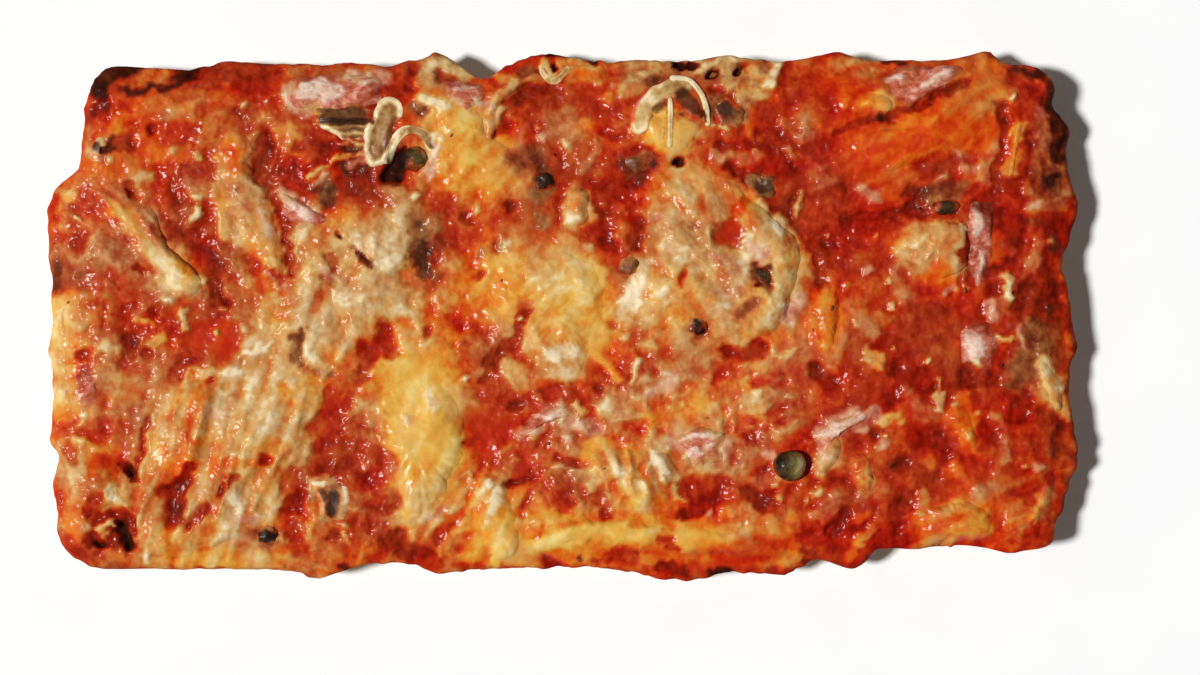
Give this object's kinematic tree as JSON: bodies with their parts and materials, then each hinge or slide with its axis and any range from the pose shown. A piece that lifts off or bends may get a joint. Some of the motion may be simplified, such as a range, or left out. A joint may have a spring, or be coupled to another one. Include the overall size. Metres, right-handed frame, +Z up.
{
  "type": "ham and mushroom pizza slice",
  "caption": "Rectangular baked pizza slice with rounded corners, tomato sauce to its sides, melted cheese, ham pieces, sliced mushrooms and capers.",
  "frame": {"origin": "under the middle of the slice's footprint, on the surface that it rests on", "axes": "+X along the long side, +Y to the back, +Z up out of the toppings"},
  "size_m": [0.186, 0.0946, 0.0183],
  "materials": {
    "crust": "matt baked bread crust, golden brown with charred spots",
    "sauce": "wet glossy cooked tomato sauce",
    "cheese": "melted cheese, satin to oily, golden with toasted spots",
    "ham": "moist cooked ham, pink with pale fat",
    "mushroom": "moist baked mushroom, beige flesh and brown gills",
    "caper": "moist dark olive green, wrinkled"
  },
  "bodies": {
    "root": {"baked_base": "crust", "tomato_sauce": "sauce", "cheese_upper_left_flap": "cheese", "cheese_left_corner": "cheese", "cheese_left_flap": "cheese", "cheese_beige_patch": "cheese", "cheese_centre_pool": "cheese", "cheese_middle": "cheese", "cheese_under_mushroom": "cheese", "cheese_right_flap": "cheese", "cheese_right_seam": "cheese", "cheese_back_right_sheet": "cheese", "cheese_right_patch": "cheese", "cheese_front_pool": "cheese", "cheese_front_middle": "cheese", "cheese_front_right": "cheese", "cheese_right_corner": "cheese", "cheese_left_edge": "cheese", "cheese_ribbon": "cheese", "cheese_back_curl": "cheese", "cheese_small_oval": "cheese", "cheese_back_lump": "cheese", "cheese_right_stripe": "cheese", "cheese_right_edge": "cheese", "cheese_right_spot": "cheese", "cheese_front_folds": "cheese", "cheese_front_strip": "cheese", "cheese_beside_caper": "cheese", "cheese_corner_curl": "cheese", "ham_back_left": "ham", "ham_at_notch": "ham", "ham_left_wedge": "ham", "ham_back_right": "ham", "ham_right_strip": "ham", "ham_right_cube": "ham", "ham_centre": "ham", "ham_front_right": "ham", "ham_front_middle": "ham", "ham_left_bit": "ham", "mushroom_gilled": "mushroom", "mushroom_brown_strip": "mushroom", "mushroom_back_dark": "mushroom", "mushroom_dark_wedge": "mushroom", "mushroom_front_left": "mushroom", "mushroom_round": "mushroom", "mushroom_left_bit": "mushroom", "mushroom_umbrella": "mushroom", "mushroom_strip_outer": "mushroom", "mushroom_strip_inner": "mushroom", "caper_front_right": "caper", "caper_upper_left": "caper", "caper_on_flap": "caper", "caper_front_left": "caper", "caper_middle": "caper", "olive_right": "caper", "olive_on_flap": "caper"}
  },
  "joints": []
}
